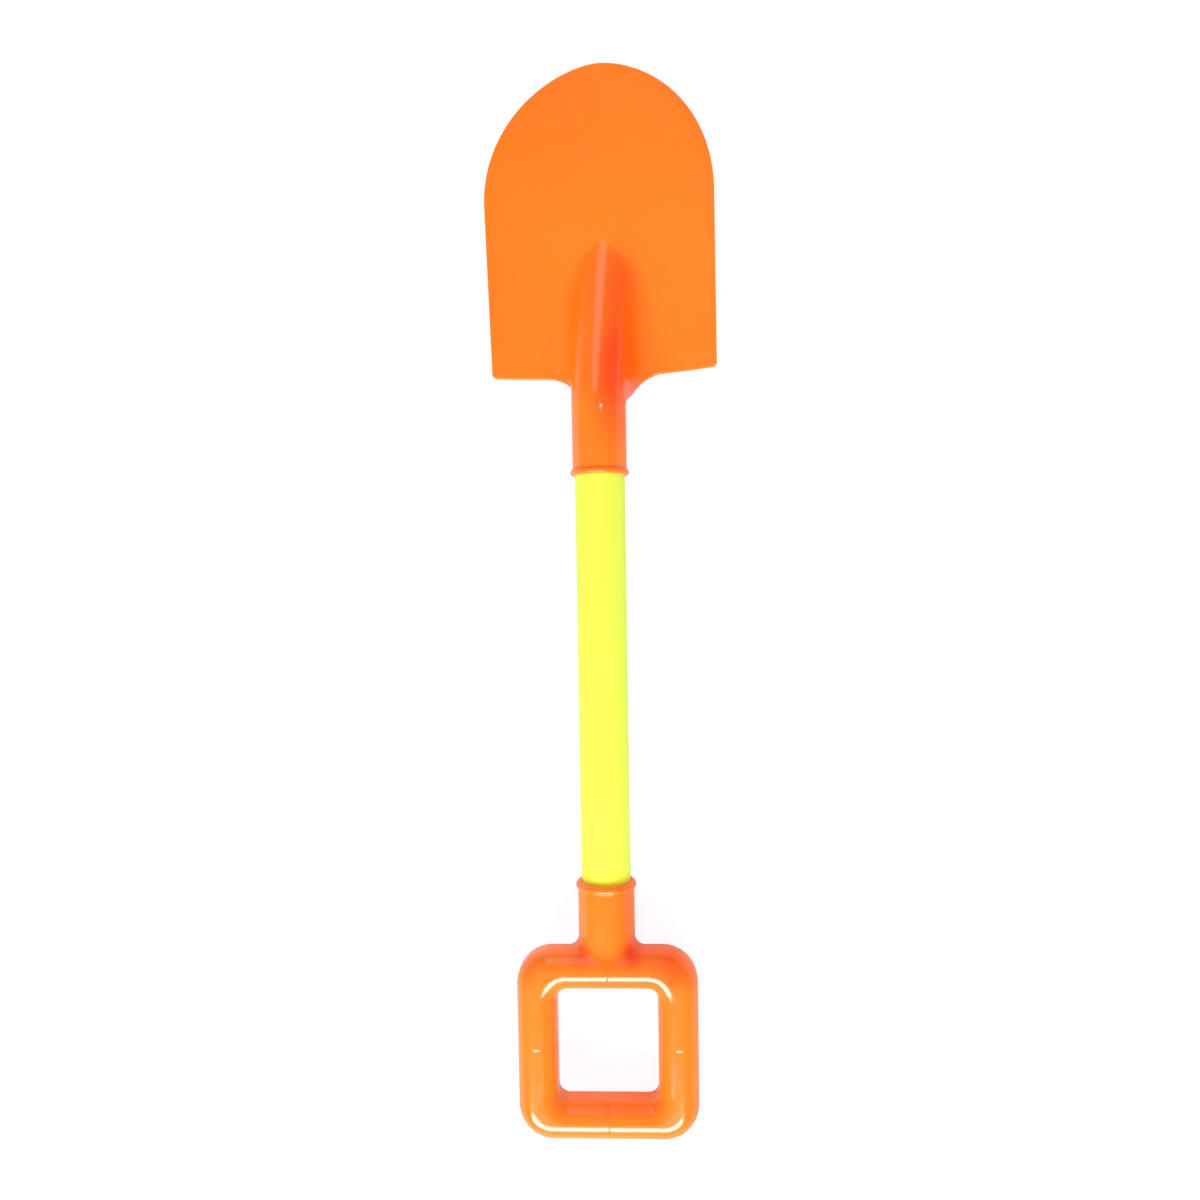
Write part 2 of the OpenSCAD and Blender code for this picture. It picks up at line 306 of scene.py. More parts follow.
def blade_shell():
    """The blade and tongue as one closed tube of rows that fan from the middle line.

    Each row runs from a point of the middle line to a point of the outline, over the rounded
    edge and back underneath. The last row lies along the middle line to the tip.
    """
    outline, inward = blade_outline()
    run = np.concatenate([[0], np.cumsum(np.linalg.norm(np.diff(outline, axis=0), axis=1))])
    run /= run[-1]
    # The middle line's points keep pace with the outline, a little ahead on the shoulder
    pace = np.interp(run, [0, 0.1, 0.3, 0.62, 1], [0, 0.09, 0.3, 0.66, 1])
    spine = NECK + (TIP - SHORT_OF_TIP - NECK) * pace[:, None]
    end = outline + inward * EDGE_RADIUS
    s = np.linspace(0, 1, FINE_POINTS)[None, :]
    fine_u = end[:, :1] * s
    fine_w = spine + (end[:, 1:] - spine) * s
    surfaces = []
    for t, count in ((0.0, FRONT_POINTS), (BLADE_WALL, BACK_POINTS)):
        u, w = even_steps(fine_u, fine_w, blade_height(fine_u, fine_w, t), count)
        surfaces.append(np.stack([u, w, blade_height(u, w, t)]))
    # The edge is a quarter round off the front and another off the back
    turns = np.linspace(0, np.pi / 2, EDGE_POINTS + 1)[1:]
    back = EDGE_RADIUS * (1 - np.sin(turns))[None, :]
    drop = EDGE_RADIUS * (1 - np.cos(turns))[None, :]
    u = outline[:, :1] + inward[:, :1] * back
    w = outline[:, 1:] + inward[:, 1:] * back
    front_edge = np.stack([u, w, blade_height(u, w, 0.0) - drop])
    back_edge = np.stack([u, w, blade_height(u, w, BLADE_WALL) + drop])[:, :, ::-1]
    right = np.concatenate([surfaces[0], front_edge, back_edge, surfaces[1][:, :, ::-1]], axis=2)
    left = right[:, :, -2:0:-1] * np.array([-1, 1, 1])[:, None, None]
    u, w, v = np.concatenate([right, left], axis=2)
    rows, columns = u.shape
    faces = grid_faces(rows, columns, wrap_columns=True)
    # The first row is closed inside the socket's end wall, front against back
    half = columns // 2
    j = np.arange(half // 2)
    right_cap = np.stack([j, j + 1, half - j - 1, half - j], axis=1)
    left_cap = np.stack([-j % columns, -j - 1 + columns, half + j + 1, half + j], axis=1)
    return place(u, w, v).reshape(-1, 3), np.concatenate([faces, right_cap, left_cap])


def lathe(profile, turns):
    """A closed shell of revolution about the shaft's axis from (radius, along) points."""
    profile = np.array(profile)
    a = np.linspace(0, 2 * np.pi, turns, endpoint=False)[:, None]
    u = profile[None, :, 0] * np.cos(a)
    v = profile[None, :, 0] * np.sin(a)
    w = np.broadcast_to(profile[None, :, 1], u.shape)
    return place(u, w, v).reshape(-1, 3), grid_faces(turns, len(profile), wrap_rows=True)


BORE_RADIUS = 9.25
MOUTH_ROUND = 0.3
RIM_FILLET = 0.35
FLOOR_ROUND = 0.6
TURNS = 160
rim_middle = HEAD_RADIUS + HEAD_RIM - HEAD_BEAD
head_profile = (
    [[0.0, HEAD_DEPTH], [BORE_RADIUS, HEAD_DEPTH], [BORE_RADIUS, 2 * MOUTH_ROUND]]
    + arc(BORE_RADIUS + MOUTH_ROUND, MOUTH_ROUND, MOUTH_ROUND, 180, 270, 5)
    + arc(rim_middle, HEAD_BEAD, HEAD_BEAD, 270, 430, 20)
    + arc(HEAD_RADIUS + RIM_FILLET, HEAD_BEAD * 2 + 0.3, RIM_FILLET, 250, 180, 6)
    + [[HEAD_RADIUS, w] for w in np.linspace(4.0, SOCKET_END - 0.4, 14)]
    + arc(HEAD_RADIUS - FLOOR_ROUND, HEAD_DEPTH + HEAD_FLOOR - FLOOR_ROUND, FLOOR_ROUND, 0, 90, 7)
    + [[0.0, HEAD_DEPTH + HEAD_FLOOR]]
)
# The gate where the plastic entered leaves a small raised dot on the socket, by the bend. Its
# profile is given as radius and height over the socket
GATE_ALONG = 24.1
GATE_ACROSS = 2.5
GATE_PROFILE = np.array([[0, -0.4], [0.6, -0.4], [0.6, -0.1], [0.15, 0.14], [0, 0.17]])
gate_height = math.sqrt(HEAD_RADIUS**2 - GATE_ACROSS**2)
a = np.linspace(0, 2 * np.pi, 20, endpoint=False)
gate_points = place(
    GATE_ACROSS + GATE_PROFILE[:, :1] * np.cos(a),
    GATE_ALONG + GATE_PROFILE[:, :1] * np.sin(a),
    gate_height + GATE_PROFILE[:, 1:],
).reshape(-1, 3)
gate_faces = grid_faces(len(GATE_PROFILE), len(a), wrap_columns=True)

head_mesh = closed_mesh(
    "scoop_moulding",
    [blade_shell(), lathe(head_profile, TURNS), (gate_points, gate_faces)],
)
scoop = add_object("scoop_moulding", head_mesh)


def add_point_values(mesh, name, values):
    """Stores one number for each point of a mesh, for its material to read."""
    store = mesh.attributes.new(name, "FLOAT", "POINT")
    store.data.foreach_set("value", values.astype(np.float32))


# Painted shade: the colour is made deeper along the tongue's right flank, which turns from the
# light, and a little toward the tip. Each range is where along the head the depth comes or goes
FLANK_ACROSS = 6.5
FLANK_SPREAD = 6.5
FLANK_SHADE_DEPTH = 0.9
FLANK_STARTS = (2, 34)
FLANK_SHADE_EASES = (42, 64)
SHADE_EASED_BY = 0.42
FLANK_ENDS = (70, 94)
TIP_SHADE_DEPTH = 0.22
TIP_STARTS = (85, 150)
u, w, v = np.array([ACROSS, ALONG, UPWARD]) @ (mesh_points(head_mesh) - MOUTH).T * 1000
shade_depth = FLANK_SHADE_DEPTH * rise(w, *FLANK_STARTS) * (1 - rise(w, *FLANK_ENDS))
shade_depth = shade_depth * (1 - SHADE_EASED_BY * rise(w, *FLANK_SHADE_EASES))
flank = np.exp(-(((u - FLANK_ACROSS) / FLANK_SPREAD) ** 2))
add_point_values(head_mesh, "painted_shade", flank * shade_depth + TIP_SHADE_DEPTH * rise(w, *TIP_STARTS))
# Painted highlight: the gate dot is painted pale, as where it catches the light
GATE_HIGHLIGHT_REACH = (0.45, 0.75)
from_gate = np.sqrt((u - GATE_ACROSS) ** 2 + (w - GATE_ALONG) ** 2 + (v - gate_height) ** 2)
add_point_values(head_mesh, "painted_highlight", 1 - rise(from_gate, *GATE_HIGHLIGHT_REACH))


def linear(colour):
    """Linear red, green, blue and 1 of a hex colour written in sRGB."""
    parts = [int(colour[i : i + 2], 16) / 255 for i in (1, 3, 5)]
    return [p / 12.92 if p <= 0.04045 else ((p + 0.055) / 1.055) ** 2.4 for p in parts] + [1.0]


def empty_tree(owner):
    """The node tree of a new material or world, with nothing in it."""
    owner.use_nodes = True
    owner.node_tree.nodes.clear()
    return owner.node_tree


def add_node(tree, kind, settings=None, links=None):
    """Adds a node, sets its sockets or properties by name or number, and links its inputs."""
    node = tree.nodes.new(kind)
    for key, value in (settings or {}).items():
        if isinstance(key, int) or key in node.inputs:
            node.inputs[key].default_value = value
        else:
            setattr(node, key, value)
    for key, source in (links or {}).items():
        tree.links.new(source, node.inputs[key])
    return node


# Colours of the orange as moulded, where the melt pooled, of its painted shade, and of its painted
# highlight
ORANGE = "#ff7b16"
POOLED_ORANGE = "#ff7613"
PAINTED_SHADE_ORANGE = "#ff4410"
PAINTED_HIGHLIGHT_ORANGE = "#ffe0d0"
# Real sizes in metres of its patches, of the waves in a cooled wall and of the mould's skin
FLOW_PATCH = 0.045
WAVE_LENGTH = 0.006
WAVE_HEIGHT = 0.00004
SKIN_GRAIN = 0.0004
SKIN_HEIGHT = 0.000004


def moulded_polypropylene(name):
    """Glossy moulded polypropylene: smooth from a polished mould, a little translucent, with
    painted shade and a painted highlight where the mesh says.
    """
    material = bpy.data.materials.new(name)
    tree = empty_tree(material)
    spot = add_node(tree, "ShaderNodeTexCoord")
    # Flow of the melt leaves wide, faint patches of a deeper colour
    flow = add_node(
        tree,
        "ShaderNodeTexNoise",
        {"Scale": 1 / FLOW_PATCH, "Detail": 1.0, "Roughness": 0.4},
        {"Vector": spot.outputs["Object"]},
    )
    blend = add_node(
        tree,
        "ShaderNodeMapRange",
        {"From Min": 0.35, "From Max": 0.75, "To Min": 0.0, "To Max": 1.0},
        {"Value": flow.outputs["Fac"]},
    )
    tint = add_node(
        tree,
        "ShaderNodeMix",
        {"data_type": "RGBA", 6: linear(ORANGE), 7: linear(POOLED_ORANGE)},
        {0: blend.outputs["Result"]},
    )
    # Painted shade: the colour turns a deeper red where the mesh says
    painted_shade = add_node(tree, "ShaderNodeAttribute", {"attribute_name": "painted_shade"})
    shaded = add_node(
        tree,
        "ShaderNodeMix",
        {"data_type": "RGBA", 7: linear(PAINTED_SHADE_ORANGE)},
        {0: painted_shade.outputs["Fac"], 6: tint.outputs[2]},
    )
    # Painted highlight: the colour turns pale where the mesh says
    painted_highlight = add_node(tree, "ShaderNodeAttribute", {"attribute_name": "painted_highlight"})
    highlighted = add_node(
        tree,
        "ShaderNodeMix",
        {"data_type": "RGBA", 7: linear(PAINTED_HIGHLIGHT_ORANGE)},
        {0: painted_highlight.outputs["Fac"], 6: shaded.outputs[2]},
    )
    # A cooled wall is slowly wavy, under the fine skin that the mould gives it
    wave = add_node(
        tree,
        "ShaderNodeTexNoise",
        {"Scale": 1 / WAVE_LENGTH, "Detail": 1.0, "Roughness": 0.5},
        {"Vector": spot.outputs["Object"]},
    )
    slow = add_node(
        tree,
        "ShaderNodeBump",
        {"Strength": 0.25, "Distance": WAVE_HEIGHT},
        {"Height": wave.outputs["Fac"]},
    )
    skin = add_node(
        tree,
        "ShaderNodeTexNoise",
        {"Scale": 1 / SKIN_GRAIN, "Detail": 2.0, "Roughness": 0.6},
        {"Vector": spot.outputs["Object"]},
    )
    fine = add_node(
        tree,
        "ShaderNodeBump",
        {"Strength": 0.2, "Distance": SKIN_HEIGHT},
        {"Height": skin.outputs["Fac"], "Normal": slow.outputs["Normal"]},
    )
    # Handling leaves the polish uneven
    polish = add_node(
        tree,
        "ShaderNodeMapRange",
        {"From Min": 0.3, "From Max": 0.7, "To Min": 0.17, "To Max": 0.22},
        {"Value": wave.outputs["Fac"]},
    )
    shader = add_node(
        tree,
        "ShaderNodeBsdfPrincipled",
        {
            "IOR": 1.49,
            "Specular IOR Level": 0.9,
            "Subsurface Weight": 0.12,
            "Subsurface Radius": (0.001, 0.0003, 0.0001),
            "Subsurface Scale": 1.0,
        },
        {
            "Base Color": highlighted.outputs[2],
            "Roughness": polish.outputs["Result"],
            "Normal": fine.outputs["Normal"],
        },
    )
    add_node(tree, "ShaderNodeOutputMaterial", links={"Surface": shader.outputs["BSDF"]})
    return material


orange_polypropylene = moulded_polypropylene("orange_moulded_polypropylene")
head_mesh.materials.append(orange_polypropylene)
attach(scoop, "root")
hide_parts("scoop_head")

# Shaft
# A length of extruded yellow polyethylene tube, cut square and pushed 26 mm into the head
# and 22 mm into the grip. Extrusion leaves it satin, with faint lines along it.
TUBE_RADIUS = 9.2
TUBE_WALL = 1.2
SHAFT_SHOWN = 151.4
GRIP_DEPTH = 22.0
CUT_EDGE = 0.2
near, far = HEAD_DEPTH, -SHAFT_SHOWN - GRIP_DEPTH
inside = TUBE_RADIUS - TUBE_WALL
tube_profile = (
    [[inside, w] for w in np.linspace(far + CUT_EDGE, near - CUT_EDGE, 30)]
    + [[inside + CUT_EDGE, near], [TUBE_RADIUS - CUT_EDGE, near]]
    + [[TUBE_RADIUS, w] for w in np.linspace(near - CUT_EDGE, far + CUT_EDGE, 60)]
    + [[TUBE_RADIUS - CUT_EDGE, far], [inside + CUT_EDGE, far], [inside, far + CUT_EDGE]]
)
shaft_mesh = closed_mesh("shaft_tubing", [lathe(tube_profile, TURNS)])
shaft = add_object("shaft_tubing", shaft_mesh)

YELLOW = "#e2fd48"
STREAK_YELLOW = "#def944"
PAINTED_GLOW_YELLOW = "#ffd40c"
# The die's lines, in metres: their real spacing, how far one keeps its strength, their height
LINE_SPACING = 0.0011
LINE_LENGTH = 0.11
LINE_HEIGHT = 0.00001
# The painted glow runs from just inside the grip's mouth along the tube
GLOW_INSIDE = 0.001
GLOW_LENGTH = 0.005


def extruded_polyethylene(name):
    """Satin extruded polyethylene with die lines along its length, and a painted glow by the grip's
    mouth.
    """
    material = bpy.data.materials.new(name)
    tree = empty_tree(material)
    spot = add_node(tree, "ShaderNodeTexCoord")
    # Die lines run the whole length, so the pattern is drawn out a hundred times along Y
    lay = add_node(
        tree,
        "ShaderNodeMapping",
        {"Scale": (1 / LINE_SPACING, 1 / LINE_LENGTH, 1 / LINE_SPACING)},
        {"Vector": spot.outputs["Object"]},
    )
    lines = add_node(
        tree,
        "ShaderNodeTexNoise",
        {"Scale": 1.0, "Detail": 2.0, "Roughness": 0.5},
        {"Vector": lay.outputs["Vector"]},
    )
    tint = add_node(
        tree,
        "ShaderNodeMix",
        {"data_type": "RGBA", 6: linear(YELLOW), 7: linear(STREAK_YELLOW)},
        {0: lines.outputs["Fac"]},
    )
    # Painted light: the last of the tube by the grip's mouth is painted a warm yellow, standing in
    # for orange light bounced from the socket where shade would fall
    parts = add_node(tree, "ShaderNodeSeparateXYZ", links={"Vector": spot.outputs["Object"]})
    near_grip = float(place(0, -SHAFT_SHOWN, 0)[1])
    glow_share = add_node(
        tree,
        "ShaderNodeMapRange",
        {
            "interpolation_type": "SMOOTHSTEP",
            "From Min": near_grip - GLOW_INSIDE,
            "From Max": near_grip + GLOW_LENGTH,
            "To Min": 0.9,
            "To Max": 0.0,
        },
        {"Value": parts.outputs["Y"]},
    )
    glowing = add_node(
        tree,
        "ShaderNodeMix",
        {"data_type": "RGBA", 7: linear(PAINTED_GLOW_YELLOW)},
        {0: glow_share.outputs["Result"], 6: tint.outputs[2]},
    )
    bump = add_node(
        tree,
        "ShaderNodeBump",
        {"Strength": 0.3, "Distance": LINE_HEIGHT},
        {"Height": lines.outputs["Fac"]},
    )
    shader = add_node(
        tree,
        "ShaderNodeBsdfPrincipled",
        {
            "IOR": 1.51,
            "Roughness": 0.42,
            "Subsurface Weight": 0.5,
            "Subsurface Radius": (0.004, 0.004, 0.0012),
            "Subsurface Scale": 1.0,
        },
        {"Base Color": glowing.outputs[2], "Normal": bump.outputs["Normal"]},
    )
    add_node(tree, "ShaderNodeOutputMaterial", links={"Surface": shader.outputs["BSDF"]})
    return material


shaft_mesh.materials.append(extruded_polyethylene("yellow_extruded_polyethylene"))
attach(shaft, "root")
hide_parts("shaft_tube")

# Grip
# One moulding in the head's plastic: a socket and a rounded-square ring, an upside-down
# channel with a rib across each limb. It was pushed on turned 8 degrees to the blade.
GRIP_TURN = math.radians(8.0)
GRIP_RADIUS = 10.65
GRIP_RIM = 0.75
GRIP_BEAD = 1.6
NECK_LENGTH = 24.7
RING_WIDTH = 67.9
RING_LENGTH = 72.48
LIMB_WIDTH = 15.0
LIMB_SIDE = 5.0
RING_WALL = 2.0
RING_CORNER = 13.3
HOLE_CORNER = 4.0
RIB_THICKNESS = 1.4
RIB_BACK = 1.0
CHANNEL_BELOW = 1.0
SINK_DEPTH = 0.02
SINK_WIDTH = 0.7
SINK_EASE = 3
# The fillet between ring and socket: its radius, the heights where it starts and is full,
# those where it shrinks and would end, and the least share of it that is left up there
JOIN_RADIUS = 4.0
JOIN_STARTS = -1.5
JOIN_FULL = 0.5
JOIN_EASES = 6
JOIN_ENDS = 12
TOP_SHARE = 0.2
# Radii of the small rounds on edges and corners
LEAST_JOIN = 0.4
RIM_JOIN = 0.2
BACK_EDGE = 0.45
RIB_CORNER = 0.5
CHANNEL_EDGE = 0.4
BORE_EDGE = 0.35
MESH_STEP = 0.58

GRIP_MOUTH = -SHAFT_SHOWN
RING_NEAR = GRIP_MOUTH - NECK_LENGTH
LIMB_RADIUS = LIMB_WIDTH / 2
RING_MID = RING_NEAR - RING_LENGTH / 2
LIMB_NEAR = RING_NEAR - LIMB_RADIUS
GRIP_END = LIMB_NEAR + math.sqrt(LIMB_RADIUS**2 - (GRIP_RADIUS - LIMB_SIDE) ** 2) - 0.15


def place_turned(u, w, v):
    """Places points of the grip, turned about the shaft with the right side down."""
    return place(
        u * math.cos(GRIP_TURN) + v * math.sin(GRIP_TURN),
        w,
        -u * math.sin(GRIP_TURN) + v * math.cos(GRIP_TURN),
    )


def from_rectangle(u, w, width, length, corner):
    """Distance outside a rectangle with round corners about the ring's middle."""
    x = np.abs(u) - width / 2 + corner
    y = np.abs(w - RING_MID) - length / 2 + corner
    return np.hypot(np.maximum(x, 0), np.maximum(y, 0)) + np.minimum(np.maximum(x, y), 0) - corner


def both(a, b, r):
    """Distance to what two solids share, with the edge between them rounded to r."""
    return np.minimum(-r, np.maximum(a, b)) + np.hypot(np.maximum(a + r, 0), np.maximum(b + r, 0))


def either(a, b, r):
    """Distance to two solids as one, with the corner between them filled to r."""
    return -both(-a, -b, r)


def limbs(outside, hole, v, inset):
    """Distance to the limbs, straight-sided with a round crown, drawn in by an inset.

    outside and hole are the distances from the ring's outer outline and from its hole's.
    """
    r = LIMB_RADIUS - inset
    up = np.maximum(v - LIMB_SIDE, 0)
    outer = np.hypot(np.maximum(r + outside + inset, 0), up) - r
    inner = np.hypot(np.maximum(r - hole + inset, 0), up) - r
    return np.maximum(outer, inner)


def grip_distance(u, w, v):
    """Distance outside the grip: ring and socket as one, less the channel and the bore.

    The crown sinks a little over each rib, where the thicker plastic shrank. The fillet of
    the join between ring and socket is full at half height and small above and below.
    """
    outside = from_rectangle(u, w, RING_WIDTH, RING_LENGTH, RING_CORNER)
    hole = from_rectangle(
        u, w, RING_WIDTH - 2 * LIMB_WIDTH, RING_LENGTH - 2 * LIMB_WIDTH, HOLE_CORNER
    )
    from_rib = np.minimum(np.abs(u), np.abs(w - RING_MID))
    crown = np.clip((v - LIMB_SIDE) / SINK_EASE, 0, 1)
    sink = SINK_DEPTH * np.exp(-((from_rib / SINK_WIDTH) ** 2)) * crown
    ring = both(limbs(outside, hole, v, 0.0) + sink, -v, BACK_EDGE)
    out = np.hypot(u, v)
    rim_radius = GRIP_RADIUS + GRIP_RIM - GRIP_BEAD
    bead = np.hypot(out - rim_radius, w - GRIP_MOUTH + GRIP_BEAD) - GRIP_BEAD
    pipe = np.maximum(out - GRIP_RADIUS, np.maximum(w - GRIP_MOUTH + GRIP_BEAD, GRIP_END - w))
    lower = np.clip((v - JOIN_STARTS) / (JOIN_FULL - JOIN_STARTS), 0, 1)
    upper = np.clip((JOIN_ENDS - v) / (JOIN_ENDS - JOIN_EASES), TOP_SHARE, 1)
    join = LEAST_JOIN + (JOIN_RADIUS - LEAST_JOIN) * lower * upper
    whole = either(ring, either(pipe, bead, RIM_JOIN), join)
    rib = np.maximum(from_rib - RIB_THICKNESS / 2, RIB_BACK - v)
    channel = both(limbs(outside, hole, v, RING_WALL), -rib, RIB_CORNER)
    channel = np.maximum(channel, -CHANNEL_BELOW - v)
    bore = np.maximum(out - BORE_RADIUS, GRIP_MOUTH - GRIP_DEPTH - w)
    return both(both(whole, -channel, CHANNEL_EDGE), -bore, BORE_EDGE)


def slope(distance, p):
    """Gradient of a distance function at points p, by small steps each way."""
    h = 0.02
    parts = []
    for axis in np.eye(3) * h:
        parts.append((distance(*(p + axis).T) - distance(*(p - axis).T)) / (2 * h))
    return np.stack(parts, axis=1)


DRAW_PASSES = 5
LEAST_SLOPE = 0.5


def zero_surface(distance, low, high, step):
    """The closed surface where a distance function is zero, as points, faces and normals.

    The function is worked out on a grid. Each cell that the surface passes through gets one
    point, the mean of the crossings on its edges, and each grid edge that crosses the surface
    gets a face through the four cells round it. The points are then drawn onto the surface
    along the function's gradient, which also gives their normals.
    """
    axes = [np.arange(a, b + step, step) for a, b in zip(low, high)]
    d = distance(*np.meshgrid(*axes, indexing="ij"))
    cells = tuple(n - 1 for n in d.shape)
    total, count = np.zeros((3, *cells)), np.zeros(cells)
    crossings = []
    for axis in range(3):
        e = np.moveaxis(d, axis, 0)
        a, b = e[:-1], e[1:]
        cross = (a < 0) != (b < 0)
        share = np.where(cross, a / np.where(cross, a - b, 1), 0)
        crossings.append((cross, a < 0))
        others = [k for k in range(3) if k != axis]
        for i in (0, 1):
            for j in (0, 1):
                part = (slice(None), slice(i, i + cells[others[0]]), slice(j, j + cells[others[1]]))
                hit = np.moveaxis(cross[part], 0, axis)
                count += hit
                total[axis] += np.moveaxis(share[part], 0, axis)
                total[others[0]] += i * hit
                total[others[1]] += j * hit
    where = np.argwhere(count > 0)
    number = np.full(cells, -1)
    number[tuple(where.T)] = np.arange(len(where))
    p = np.array(low) + step * (where + (total[:, count > 0] / count[count > 0]).T)
    faces = []
    for axis in range(3):
        cross, starts_inside = crossings[axis]
        near = np.moveaxis(number, axis, 0)
        at = np.argwhere(cross[:, 1:-1, 1:-1])
        i, j, k = at[:, 0], at[:, 1], at[:, 2]
        corners = [near[i, j, k], near[i, j + 1, k], near[i, j + 1, k + 1], near[i, j, k + 1]]
        quad = np.stack(corners, axis=1)
        flip = starts_inside[:, 1:-1, 1:-1][i, j, k] == (axis == 1)
        faces.append(np.where(flip[:, None], quad[:, ::-1], quad))
    for _ in range(DRAW_PASSES):
        g = slope(distance, p)
        move = -distance(*p.T) / np.maximum((g**2).sum(axis=1), LEAST_SLOPE**2)
        p += np.clip(move, -step / 2, step / 2)[:, None] * g
    g = slope(distance, p)
    return p, np.concatenate(faces), g / np.linalg.norm(g, axis=1)[:, None]


reach = GRIP_RADIUS + GRIP_RIM + 1
grip_points, grip_faces, grip_normals = zero_surface(
    grip_distance,
    (-RING_WIDTH / 2 - 1, RING_NEAR - RING_LENGTH - 1, -reach),
    (RING_WIDTH / 2 + 1, GRIP_MOUTH + 1, LIMB_SIDE + LIMB_RADIUS + 1),
    MESH_STEP,
)
grip_mesh = bpy.data.meshes.new("grip_moulding")
grip_mesh.from_pydata(place_turned(*grip_points.T).tolist(), [], grip_faces.tolist())
grip_mesh.shade_smooth()
turned = place_turned(*grip_normals.T) - MOUTH
turned /= np.linalg.norm(turned, axis=1)[:, None]
grip_mesh.normals_split_custom_set_from_vertices(turned.tolist())
grip = add_object("grip_moulding", grip_mesh)
# Where each point lies on the grip, in mm from the middle of the ring, for the marks on it
marks = grip_mesh.attributes.new("ring_place", "FLOAT_VECTOR", "POINT")
marks.data.foreach_set("vector", (grip_points - [0, RING_MID, 0]).ravel())
# Painted shade, a deeper colour where faces turn from the light: the socket's right side, the end
# limbs, both sides of the join between them, and one corner. Each range is where a depth comes or
# goes, and a spot is its place across and along, its radius and its depth
SOCKET_SHADE_DEPTH = 0.35
SOCKET_SIDE = (2, 9)
SOCKET_RUN = (RING_NEAR - 4, RING_NEAR)
END_LIMBS_SHADE_DEPTH = 0.14
END_LIMBS = (21, 27)
PAST_SOCKET = (0, 3)
UPPER_SIDE = (-2, 3)
SHADE_SPOTS = (
    (9.5, RING_NEAR - 1.5, 3.5, 0.8),
    (-9.5, RING_NEAR - 1.5, 3.5, 0.5),
    (24.0, RING_NEAR - 7.0, 6.0, 0.45),
)
u, w, v = grip_points.T
shade_depth = SOCKET_SHADE_DEPTH * rise(u, *SOCKET_SIDE) * rise(w, *SOCKET_RUN)
on_end_limbs = rise(np.abs(w - RING_MID), *END_LIMBS) * rise(RING_NEAR - w, *PAST_SOCKET)
shade_depth = shade_depth + END_LIMBS_SHADE_DEPTH * on_end_limbs
for spot_u, spot_w, radius, depth in SHADE_SPOTS:
    shade_depth = shade_depth + depth * np.exp(-((u - spot_u) ** 2 + (w - spot_w) ** 2) / radius**2)
add_point_values(grip_mesh, "painted_shade", np.clip(shade_depth * rise(v, *UPPER_SIDE), 0, 1))

# The marks over the ribs, in mm: a painted highlight, a pale dash across each side limb, and a fine
# ridge across each end limb
HIGHLIGHT_DASH_COLOUR = "#ffb894"
DASH_REACH = 1.2
DASH_HALF_WIDTH = 0.4
RIDGE_HALF_WIDTH = 0.5
RIDGE_HEIGHT = 0.16
RIDGE_REACH = 6.0


def add_rib_highlights_and_ridges(material):
    """Adds the marks over the ribs to the grip's plastic: painted highlight dashes in colour,
    ridges in bump.
    """
    tree = material.node_tree
    shader = tree.nodes["Principled BSDF"]
    ring_place = add_node(tree, "ShaderNodeAttribute", {"attribute_name": "ring_place"})
    parts = add_node(tree, "ShaderNodeSeparateXYZ", links={"Vector": ring_place.outputs["Vector"]})

    across = add_node(tree, "ShaderNodeMath", {"operation": "ABSOLUTE"}, {0: parts.outputs["X"]})
    along = add_node(tree, "ShaderNodeMath", {"operation": "ABSOLUTE"}, {0: parts.outputs["Y"]})
    on_side_limb = add_node(
        tree,
        "ShaderNodeMath",
        {"operation": "COMPARE", 1: RING_WIDTH / 2 - LIMB_RADIUS, 2: DASH_REACH},
        {0: across.outputs["Value"]},
    )
    on_rib = add_node(
        tree,
        "ShaderNodeMath",
        {"operation": "COMPARE", 1: 0.0, 2: DASH_HALF_WIDTH},
        {0: along.outputs["Value"]},
    )
    highlight_dashes = add_node(
        tree,
        "ShaderNodeMath",
        {"operation": "MULTIPLY"},
        {0: on_side_limb.outputs["Value"], 1: on_rib.outputs["Value"]},
    )
    with_painted_highlights = add_node(
        tree,
        "ShaderNodeMix",
        {"data_type": "RGBA", 7: linear(HIGHLIGHT_DASH_COLOUR)},
        {0: highlight_dashes.outputs["Value"], 6: shader.inputs["Base Color"].links[0].from_socket},
    )
    tree.links.new(with_painted_highlights.outputs[2], shader.inputs["Base Color"])

    on_end_limb = add_node(
        tree,
        "ShaderNodeMath",
        {"operation": "COMPARE", 1: RING_LENGTH / 2 - LIMB_RADIUS, 2: RIDGE_REACH},
        {0: along.outputs["Value"]},
    )
    ridge = add_node(
        tree,
        "ShaderNodeMapRange",
        {"From Max": RIDGE_HALF_WIDTH, "To Min": RIDGE_HEIGHT, "To Max": 0.0},
        {"Value": across.outputs["Value"]},
    )
    ridges = add_node(
        tree,
        "ShaderNodeMath",
        {"operation": "MULTIPLY"},
        {0: ridge.outputs["Result"], 1: on_end_limb.outputs["Value"]},
    )
    raised = add_node(
        tree,
        "ShaderNodeBump",
        {"Distance": 0.001},
        {
            "Height": ridges.outputs["Value"],
            "Normal": shader.inputs["Normal"].links[0].from_socket,
        },
    )
    tree.links.new(raised.outputs["Normal"], shader.inputs["Normal"])


grip_polypropylene = orange_polypropylene.copy()
grip_polypropylene.name = "orange_moulded_polypropylene_with_rib_marks"
add_rib_highlights_and_ridges(grip_polypropylene)
grip_mesh.materials.append(grip_polypropylene)
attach(grip, "root")
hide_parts("d_grip")

